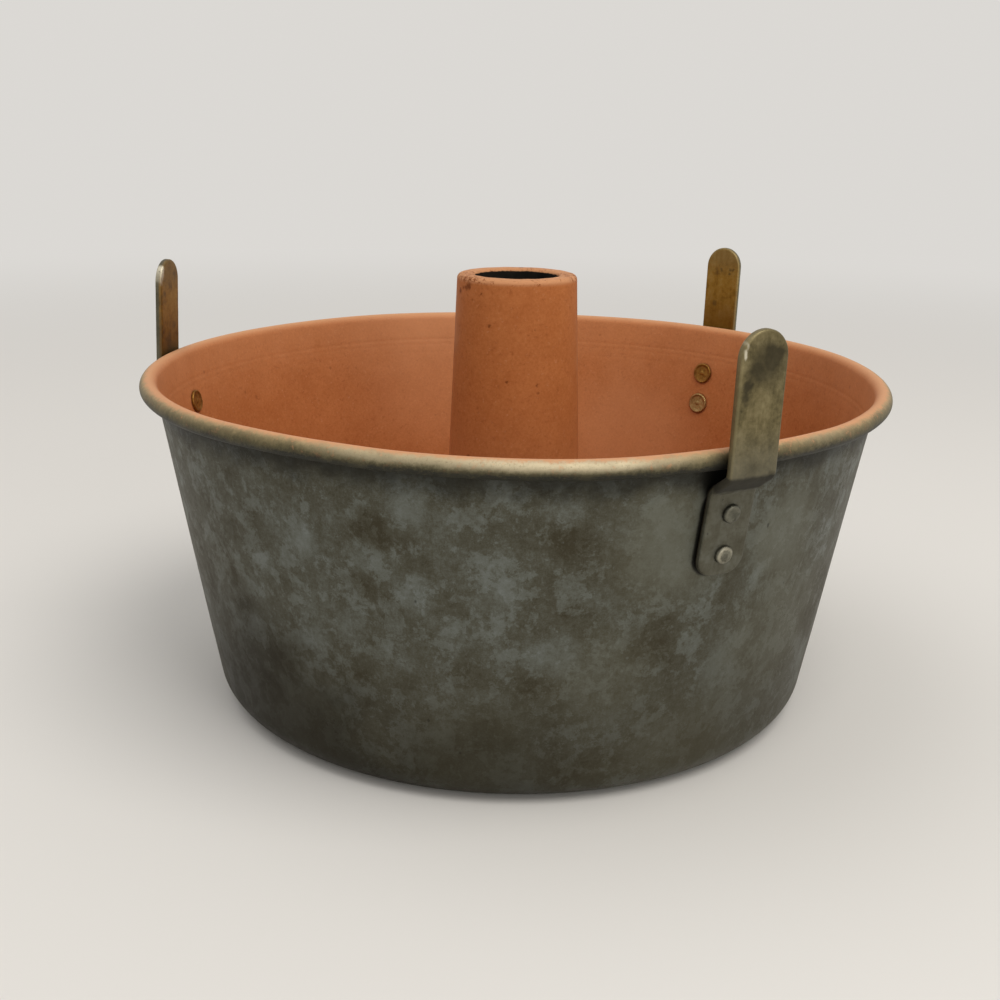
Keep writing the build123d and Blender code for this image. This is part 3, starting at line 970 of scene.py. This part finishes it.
def shell_finish():
    finish = Finish("shell_finish")
    coat = finish.field("coat")
    ragged = (finish.noise(3.2 * MM, 4, 0.65, seed=6.0) - 0.5) * (3.0 * MM)
    speckle = finish.noise(0.8 * MM, 4, 0.75, seed=13.0)
    covered = finish.step(coat + ragged + (speckle - 0.5) * (2.4 * MM), -1.3 * MM, 0.6 * MM)
    # Scraps of coating that still hold below its edge
    patches = finish.noise(2.4 * MM, 5, 0.7, seed=18.0)
    scraps = finish.step(patches, 0.54, 0.66) * finish.step(coat, -4.5 * MM, -1.5 * MM)
    covered = finish.math("MAXIMUM", covered, scraps * 0.45)
    metal, bare_rough, bare_relief = wall_looks(finish)
    # Soot with painted shade under the bead, and round the foot a darker, browner wall, partly stain and partly
    # painted shade
    smudge = finish.noise(12 * MM, 5, 0.65, seed=12.0)
    under = finish.step(finish.height + (smudge - 0.5) * (14 * MM), 101 * MM, 110 * MM)
    low = finish.step(finish.height + (smudge - 0.5) * (30 * MM), 70 * MM, 5 * MM)
    metal = finish.layers(metal, (under * 0.8, SOOT_AND_SHADE), (low * 0.5, WALL_BROWN))
    foot = spread(finish, FOOT_GRIME_AND_SHADE, on_wall, finish.warped(18 * MM, 16 * MM, detail=6.0))
    metal = finish.mix(finish.capped(foot), metal, GRIME_AND_SHADE_TINT, "MULTIPLY")
    # The bead is rubbed pale on top, brightest in front, olive below and sooty beneath; the pale top and bright
    # front are partly a painted highlight and the dark underside partly painted shade
    bead = finish.step(coat, -12 * MM, -9.6 * MM)
    rubbed_and_highlight = finish.capped(spread(finish, BEAD_RUBBED_AND_HIGHLIGHT, on_wall, finish.place))
    uneven = (smudge - 0.5) * (3 * MM) + (speckle - 0.5) * (2.0 * MM) - (patches - 0.5) * (3.4 * MM)
    wear_and_painted_light = (coat + uneven * (1 - rubbed_and_highlight * 0.65)) * (1 / (6 * MM)) + 1.0
    bead_colour = finish.ramp(wear_and_painted_light, (0.28, BEAD_DARK), (0.52, BEAD_OLIVE), (0.72, BEAD_PALE), (0.92, BEAD_BRIGHT))
    bead_colour = finish.layers(
        bead_colour,
        (rubbed_and_highlight * finish.step(wear_and_painted_light, 0.38, 0.72) * 0.9, BEAD_RUB_AND_HIGHLIGHT),
        (finish.step(smudge, 0.50, 0.72) * 0.3, BEAD_OLIVE),
        (finish.step(speckle, 0.50, 0.70) * 0.45, BEAD_OLIVE),
    )
    # Painted shade by each leg's tab lies over the bead and the wall
    metal = finish.layers(metal, (bead, bead_colour), (tab_painted_shade(finish), SOOT_AND_SHADE))
    paint, paint_rough, paint_relief = coating_looks(finish, shell_pits(finish))
    # The coating is painted paler towards the rim and in patches, as painted light, and is thin and pale on top of
    # the bead, where the paleness is partly painted light too
    faded = finish.step(finish.height + (smudge - 0.5) * (30 * MM), 84 * MM, 126 * MM)
    place = finish.warped(16 * MM, 8 * MM, detail=4.0)
    painted_light_patches = spread(finish, WALL_PAINTED_LIGHT, in_wall, place)
    crown = finish.step(coat, 4.0 * MM, 0.8 * MM)
    paint = finish.layers(paint, (finish.capped(faded * 0.3 + painted_light_patches), COATING_PAINTED_LIGHT), (crown * 0.75, COATING_DUST_AND_SHEEN))
    colour = finish.mix(covered, metal, paint)
    rough = finish.blend(covered, finish.blend(bead, bare_rough, 0.55), paint_rough)
    relief = finish.blend(covered, bare_relief, paint_relief + 0.05 * MM)
    return finish.finish(colour, rough, (1 - covered) * finish.blend(bead, 0.75, 0.4), relief, 0.25)


def tab_painted_shade(finish):
    """Painted shade against each leg's tab, mostly on its left, in the hollow above the tab and on the bead beside
    the bar.
    """
    wobble = (finish.noise(1.5 * MM, 3, 0.6, seed=15.0) - 0.5) * (0.6 * MM)
    low = RIM_HEIGHT - TAB_DROP
    high = RIM_HEIGHT - 2 * BEAD_RADIUS - JOGGLE_START_DROP
    half_side = LEG_WIDTH / 2 - TAB_CORNER_RADIUS
    half_rise = (high - low) / 2 - TAB_CORNER_RADIUS
    total = 0.0
    for turn in LEG_TURNS:
        angle = math.radians(turn)
        centre = on_wall(turn, (low + high) / 2)
        across = finish.along(centre, (math.cos(angle), math.sin(angle), 0))
        rise = finish.along(centre, (0, 0, 1))
        out = finish.along(centre, (math.sin(angle), -math.cos(angle), 0))
        off_tab = finish.length(
            finish.beyond(across, half_side), finish.beyond(rise, half_rise), finish.beyond(out, 2 * half_rise)
        )
        line = finish.step(off_tab + wobble, TAB_CORNER_RADIUS + 1.1 * MM, TAB_CORNER_RADIUS + 0.1 * MM)
        left = finish.step(across, 0.4 * LEG_WIDTH, -0.4 * LEG_WIDTH)
        total = line * (left * 0.7 + 0.25) + total
    hollow = RIM_HEIGHT - 2 * BEAD_RADIUS - 3.5 * MM
    hollows = [(on_wall(turn - 2.0, hollow), 8 * MM, 0.95) for turn in LEG_TURNS]
    # Painted shade on the bead beside the bar, stronger on its left
    bead_shade = [
        (on_bead(turn + side * 3.7), 5.5 * MM, strength)
        for turn in LEG_TURNS
        for side, strength in ((-1, 0.8), (1, 0.35))
    ]
    total = finish.spots(hollows, finish.place, 0.5) + finish.spots(bead_shade, finish.place, 0.1) + total
    return finish.capped(total, 0.95)


def shell_pits(finish):
    """Pits in the wall's coating, and a dark ring round each inner rivet head."""
    rough_place = finish.warped(1.2 * MM, 0.4 * MM)
    pits = spread(finish, WALL_PITS, in_wall, rough_place)
    rings = [
        (in_wall(turn, RIM_HEIGHT - drop), INNER_HEAD_RADIUS + 0.9 * MM, 0.85)
        for turn in LEG_TURNS
        for drop in RIVET_DROPS.values()
    ]
    return pits + finish.spots(rings, rough_place, 0.8)


def tube_finish():
    finish = Finish("tube_finish")
    coat = finish.field("coat")
    rough_place = finish.warped(1.1 * MM, 1.0 * MM, detail=3.0)
    pits = spread(finish, TUBE_PITS, on_tube, rough_place)
    # Flecks along the worn lip
    lip = finish.step(finish.height, TUBE_HEIGHT - 2.6 * MM, TUBE_HEIGHT - 0.8 * MM)
    chipped = spread(finish, LIP_CHIPS, on_tube, finish.place)
    flecks = finish.step(finish.noise(1.5 * MM, 5, 0.8, 0.6, seed=21.0) + chipped * 0.09, 0.585, 0.64)
    paint, paint_rough, relief = coating_looks(finish, pits + lip * flecks * 0.9)
    paint = finish.mix(1.0, paint, TUBE_TONE, "MULTIPLY")
    # Paler towards the tube's foot: painted light on the lower tube
    paint = finish.mix(finish.step(finish.height, 115 * MM, 60 * MM) * 0.25, paint, COATING_PAINTED_LIGHT)
    paint = finish.mix(lip * (1 - flecks) * 0.6, paint, COATING_DUST_AND_SHEEN)
    # Rubbed patches, at the left partly a painted reflection
    wear_and_painted_light = spread(finish, TUBE_WORN_AND_SHEEN, on_tube, finish.warped(5 * MM, 3 * MM, detail=3.0))
    sound = 1 - finish.capped(pits + lip * flecks)
    paint = finish.mix(finish.capped(wear_and_painted_light) * sound * 0.4, paint, TUBE_RUBBED_AND_SHEEN)
    ragged = (finish.noise(2.0 * MM, 3, 0.7, seed=22.0) - 0.5) * (0.8 * MM)
    covered = finish.step(coat + ragged, -0.1 * MM, 0.1 * MM)
    # The bore is painted near black: painted shade inside the hole
    bore = finish.ramp(finish.noise(6 * MM, 4, 0.6, seed=23.0), (0.35, BORE_SHADE), (0.75, BORE_SHADE_PALE))
    colour = finish.mix(covered, bore, paint)
    rough = finish.blend(covered, 0.9, paint_rough)
    return finish.finish(colour, rough, 0.0, relief, 0.12)


def plate_finish():
    finish = Finish("plate_finish")
    coat = finish.field("coat")
    # Knife marks run round the plate
    rough_place = finish.warped(1.4 * MM, 0.8 * MM)
    scratches = finish.step(finish.noise(5 * MM, 5, 0.75, 1.2, seed=31.0), 0.64, 0.70)
    stains = finish.step(finish.noise(22 * MM, 4, 0.6, place=rough_place, seed=32.0), 0.5, 0.75)
    paint, paint_rough, paint_relief = coating_looks(finish, scratches * 0.25)
    paint = finish.mix(stains * 0.35, paint, COATING_SPECK)
    under = finish.noise(14 * MM, 6, 0.65, 0.5, seed=33.0)
    metal = finish.ramp(under, (0.3, WALL_BROWN), (0.5, WALL_DULL), (0.7, WALL_GREY))
    covered = finish.step(coat, -0.05 * MM, 0.05 * MM)
    colour = finish.mix(covered, metal, paint)
    rough = finish.blend(covered, 0.5, paint_rough)
    relief = finish.blend(covered, under * (0.08 * MM), paint_relief)
    return finish.finish(colour, rough, (1 - covered) * 0.8, relief)


LEG_LOOKS = {
    "front_right": {
        "outer": ((0.050, 0.041, 0.017), (0.150, 0.121, 0.056), (0.265, 0.220, 0.115)),
        "inner": ((0.060, 0.040, 0.018), (0.120, 0.085, 0.040), (0.180, 0.140, 0.075)),
        # across, below the tip, radius and strength
        "stains": (
            (1.3, 9.3, 9.0, 0.85), (3.0, 7.5, 4.5, 0.65), (-3.5, 12.0, 4.0, 0.5), (-5.6, 15.6, 2.4, 1.0),
            (-5.3, 18.6, 2.2, 0.8), (5.8, 41.0, 2.0, 0.6), (-1.0, 38.5, 3.5, 0.3),
        ),
        "glints": ((-6.9, 6.6, 0.7, 0.9), (-6.4, 4.2, 0.6, 0.35)),
    },
    "rear_right": {
        "outer": ((0.070, 0.060, 0.035), (0.140, 0.120, 0.070), (0.230, 0.205, 0.130)),
        "inner": ((0.125, 0.053, 0.003), (0.290, 0.165, 0.024), (0.380, 0.255, 0.075)),
        "stains": ((-5.0, 9.0, 1.2, 0.7), (-3.6, 11.0, 1.0, 0.7), (0.5, 9.5, 1.0, 0.6), (3.0, 24.0, 1.5, 0.5)),
        "glints": (),
    },
    "rear_left": {
        "outer": ((0.035, 0.030, 0.016), (0.085, 0.075, 0.047), (0.150, 0.135, 0.092)),
        "inner": ((0.055, 0.020, 0.002), (0.255, 0.128, 0.011), (0.350, 0.200, 0.034)),
        "stains": ((2.0, 30.0, 4.0, 0.4), (-3.0, 25.0, 2.0, 0.4), (0.0, 35.0, 6.0, 0.5)),
        "glints": ((6.3, 3.0, 1.7, 0.8), (7.4, 6.5, 1.1, 0.5)),
    },
}
# Pale colour for painted highlights: glints on the legs' edges and the ring on the outer rivet heads
GLINT = (0.62, 0.57, 0.44)
GLINT_STRETCH = 0.35  # a glint's radius is this share of its reach along the bar


def leg_finish(place):
    looks = LEG_LOOKS[place]
    finish = Finish(f"leg_finish_{place}")
    bar = finish.field_place("bar")
    across = finish.part(bar, 0)
    drop = finish.part(bar, 1)
    depth = finish.part(bar, 2)
    inset = finish.field("inset")
    seed = 41.0 + 10.0 * list(LEG_LOOKS).index(place)
    middle = finish.noise(7 * MM, 5, 0.62, 0.5, bar, seed)
    fine = finish.noise(1.6 * MM, 4, 0.7, 0.0, bar, seed + 1)
    streaks = finish.noise(2.2 * MM, 4, 0.65, 0.0, finish.scaled(bar, (1, 0.12, 1)), seed + 2)
    value = (middle - 0.5) * 1.0 + (fine - 0.5) * 0.6 + (streaks - 0.5) * 0.5 + 0.5
    dark, plain, pale = looks["outer"]
    outer = finish.ramp(value, (0.2, dark), (0.5, plain), (0.82, pale))
    greyer = finish.step(drop + (middle - 0.5) * (14 * MM), 24 * MM, 41 * MM)
    outer = finish.mix(greyer * 0.75, outer, finish.mix(value, WALL_DULL, BAR_GREY))
    # The tab is as grey as the wall that it lies on
    on_tab = finish.step(drop + (middle - 0.5) * (8 * MM), 44 * MM, 50 * MM)
    tab = finish.ramp(value, (0.2, WALL_BROWN), (0.5, WALL_DULL), (0.82, WALL_GREY))
    outer = finish.mix(on_tab * 0.8, outer, tab)
    dark, plain, pale = looks["inner"]
    inner = finish.ramp(value, (0.2, dark), (0.5, plain), (0.82, pale))
    # The inner face is browner and darker towards the rim and greyer at the tip
    near_rim = finish.step(drop + (middle - 0.5) * (14 * MM), 16 * MM, 40 * MM)
    inner = finish.mix(near_rim * 0.8, inner, dark)
    near_tip = finish.step(drop + (middle - 0.5) * (10 * MM), 14 * MM, 4 * MM)
    inner = finish.mix(near_tip * 0.35, inner, looks["outer"][1])
    colour = finish.mix(finish.step(depth, -0.7 * MM, 0.1 * MM), inner, outer)
    # Rubbed edges, their paleness partly a painted highlight, and painted shade along the tab's left edge
    edge = finish.step(inset + (fine - 0.5) * (1.2 * MM), 0.75 * MM, 0.1 * MM)
    colour = finish.mix(edge * (1 - on_tab) * 0.35, colour, looks["outer"][2])
    flat_bar = finish.scaled(finish.warped(3.0 * MM, 2.2 * MM, bar, 4.0), (1, 1, 0))
    # Glints: painted highlights on the bar's rounded edge
    long_bar = finish.scaled(finish.warped(1.5 * MM, 0.4 * MM, bar), (1, GLINT_STRETCH, 0))
    glints = finish.capped(bar_spots(finish, looks["glints"], long_bar, GLINT_STRETCH))
    colour = finish.mix(glints, colour, GLINT)
    # Painted shade on the tab's left side face
    tab_edge_shade = finish.step(inset, 0.75 * MM, 0.35 * MM) * finish.step(drop, 45 * MM, 49 * MM)
    tab_edge_shade = tab_edge_shade * finish.step(depth, -0.1 * MM, -0.8 * MM) * finish.step(across, 0.3 * LEG_WIDTH, 0)
    # Painted shade where the bar turns in under the rim
    under_rim_shade = finish.step(drop + (fine - 0.5) * (1 * MM), 40.2 * MM, 41.2 * MM)
    under_rim_shade = under_rim_shade * finish.step(drop + (fine - 0.5) * (2 * MM), 50 * MM, 47.5 * MM)
    stains = finish.capped(bar_spots(finish, looks["stains"], flat_bar))
    colour = finish.mix(stains * 0.85, colour, BAR_STAIN)
    colour = finish.mix(finish.math("MAXIMUM", under_rim_shade * (1.0 - middle * 0.3), tab_edge_shade * 0.95), colour, SOOT_AND_SHADE)
    pits = finish.dots(3.5 * MM, 0.4 * MM, 0.4, bar)
    colour = finish.mix(pits * 0.5, colour, SOOT_AND_SHADE)
    rough = finish.blend(under_rim_shade, finish.blend(value, 0.56, 0.42), 0.9)
    relief = middle * (0.07 * MM) + fine * (0.035 * MM) - pits * (0.04 * MM)
    return finish.finish(colour, rough, finish.blend(under_rim_shade, 0.7, 0.1), relief, 0.3)


def bar_spots(finish, table, place, stretch=1.0):
    spots = [
        (Vector((across * MM, drop * MM * stretch, 0)), radius * MM, strength)
        for across, drop, radius, strength in table
    ]
    return finish.spots(spots, place)


BAR_STAIN = (0.034, 0.028, 0.014)
BAR_GREY = (0.185, 0.165, 0.110)
# Dark and pale tones of the rivets' inner and outer heads
RIVET_INNER = {
    "upper": ((0.16, 0.075, 0.012), (0.38, 0.20, 0.04)),
    "lower": ((0.26, 0.16, 0.05), (0.50, 0.35, 0.15)),
}
RIVET_OUTER = {
    "upper": ((0.055, 0.053, 0.038), (0.135, 0.132, 0.100)),
    "lower": ((0.07, 0.066, 0.046), (0.27, 0.26, 0.20)),
}
RIVET_RING_HIGHLIGHT = {"upper": 0.08, "lower": 0.38}  # how pale the painted highlight ring round the outer head is


def rivet_finish(level):
    finish = Finish(f"rivet_finish_{level}")
    local = finish.field_place("local")
    rise = finish.part(local, 2)
    fine = finish.noise(0.9 * MM, 4, 0.7, 0.3, seed=71.0)
    middle = finish.noise(2.6 * MM, 4, 0.6, 0.5, seed=72.0)
    value = (fine - 0.5) * 0.8 + (middle - 0.5) * 1.2 + 0.5
    radius = finish.vector("LENGTH", finish.scaled(local, (1, 1, 0)))
    inner = finish.ramp(value, *zip((0.25, 0.75), RIVET_INNER[level]))
    outer = finish.ramp(value, *zip((0.25, 0.75), RIVET_OUTER[level]))
    groove = finish.step(radius, 2.7 * MM, 3.2 * MM) * finish.step(radius, 3.7 * MM, 3.3 * MM)
    inner = finish.mix(groove * 0.3, inner, PIT)
    # A painted highlight: a pale ring on the outer head, strongest at its upper left
    ring = finish.step(radius + (fine - 0.5) * (1.2 * MM), 1.5 * MM, 2.1 * MM)
    ring = ring * finish.step(radius + (fine - 0.5) * (1.2 * MM), 2.8 * MM, 2.3 * MM)
    upper_left = finish.step(finish.part(local, 1) - finish.part(local, 0), -2.5 * MM, 2.8 * MM)
    outer = finish.mix(ring * (upper_left * 0.85 + 0.15) * RIVET_RING_HIGHLIGHT[level], outer, GLINT)
    outer = finish.mix(finish.step(radius, 1.4 * MM, 0.3 * MM) * 0.4, outer, WALL_DULL)
    # Painted shade round the edge of the outer head
    outer = finish.mix(finish.step(radius, 2.5 * MM, 2.88 * MM) * 0.5, outer, SOOT_AND_SHADE)
    colour = finish.mix(finish.step(rise, 0, 1 * MM), inner, outer)
    return finish.finish(colour, finish.blend(value, 0.5, 0.34), 0.8, fine * (0.05 * MM))


def wire_finish():
    finish = Finish("wire_finish")
    value = finish.noise(3 * MM, 5, 0.65, seed=81.0)
    colour = finish.ramp(value, (0.3, (0.16, 0.14, 0.11)), (0.7, (0.42, 0.41, 0.38)))
    return finish.finish(colour, finish.blend(value, 0.55, 0.35), 0.9, value * (0.03 * MM))


# Camera, light and floor


def make_camera():
    forward = Vector(
        (
            math.sin(CAMERA_YAW) * math.cos(CAMERA_PITCH),
            math.cos(CAMERA_YAW) * math.cos(CAMERA_PITCH),
            math.sin(CAMERA_PITCH),
        )
    )
    level = Vector((math.cos(CAMERA_YAW), -math.sin(CAMERA_YAW), 0))
    above = level.cross(forward)
    right = math.cos(CAMERA_ROLL) * level + math.sin(CAMERA_ROLL) * above
    up = math.cos(CAMERA_ROLL) * above - math.sin(CAMERA_ROLL) * level
    data = bpy.data.cameras.new("camera")
    data.lens = LENS
    data.sensor_width = SENSOR_WIDTH
    data.clip_start = 0.01
    camera = bpy.data.objects.new("camera", data)
    turn = Matrix((right, up, -forward)).transposed().to_4x4()
    camera.matrix_world = Matrix.Translation((0, -CAMERA_DISTANCE, CAMERA_HEIGHT)) @ turn
    bpy.context.scene.collection.objects.link(camera)
    bpy.context.scene.camera = camera


def area_lamp(name, place, size, power, colour):
    data = bpy.data.lights.new(name, "AREA")
    data.shape = "DISK"
    data.size = size
    data.energy = power
    data.color = colour
    lamp = bpy.data.objects.new(name, data)
    lamp.location = place
    aim = Vector((0, 0, RIM_HEIGHT)) - Vector(place)
    lamp.rotation_euler = aim.to_track_quat("-Z", "Y").to_euler()
    bpy.context.scene.collection.objects.link(lamp)


def shown_ray(graph):
    """1 for rays that see the backdrop: from the camera, a reflection or through glass."""
    path = graph.node("ShaderNodeLightPath")
    total = path.outputs["Is Camera Ray"]
    for name in ("Is Glossy Ray", "Is Transmission Ray"):
        total = graph.math("MAXIMUM", total, path.outputs[name])
    return total


def make_world():
    world = bpy.data.worlds.new("studio")
    graph = Graph(world)
    light = graph.nodes["Background"]
    graph.feed(light.inputs["Color"], AMBIENT)
    graph.feed(light.inputs["Strength"], AMBIENT_STRENGTH)
    seen = graph.node("ShaderNodeBackground", {"Color": BACKDROP})
    either = graph.node("ShaderNodeMixShader", {0: shown_ray(graph), 1: light.outputs[0], 2: seen.outputs[0]})
    graph.feed(graph.nodes["World Output"].inputs[0], either.outputs[0])
    bpy.context.scene.world = world


def make_floor():
    """A pale floor that fades into the backdrop's colour away from the pan."""
    bpy.ops.mesh.primitive_plane_add(size=FLOOR_SIZE)
    floor = bpy.context.object
    floor.name = "floor"
    finish = Finish("floor_finish")
    finish.feed(finish.shader.inputs["Base Color"], FLOOR)
    finish.feed(finish.shader.inputs["Roughness"], FLOOR_ROUGHNESS)
    faded = finish.step(finish.vector("LENGTH", finish.place), *FLOOR_FADE) * shown_ray(finish)
    glow = finish.node("ShaderNodeEmission", {"Color": BACKDROP})
    either = finish.node("ShaderNodeMixShader", {0: faded, 1: finish.shader.outputs[0], 2: glow.outputs[0]})
    finish.feed(finish.nodes["Material Output"].inputs[0], either.outputs[0])
    floor.data.materials.append(finish.material)


make_camera()
for lamp in LAMPS:
    area_lamp(*lamp)
make_world()
make_floor()
bpy.context.scene.view_settings.view_transform = "Standard"

make_shell().data.materials.append(shell_finish())
make_plate().data.materials.append(plate_finish())
make_tube().data.materials.append(tube_finish())
rivet_finishes = {level: rivet_finish(level) for level in RIVET_DROPS}
for place, (turn, lean, rim_gap) in LEGS.items():
    make_leg(place, turn, lean, rim_gap).data.materials.append(leg_finish(place))
    for level in RIVET_DROPS:
        make_rivet(place, level, turn).data.materials.append(rivet_finishes[level])
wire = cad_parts["rim_wire"]
wire.data.materials.clear()
wire.data.materials.append(wire_finish())
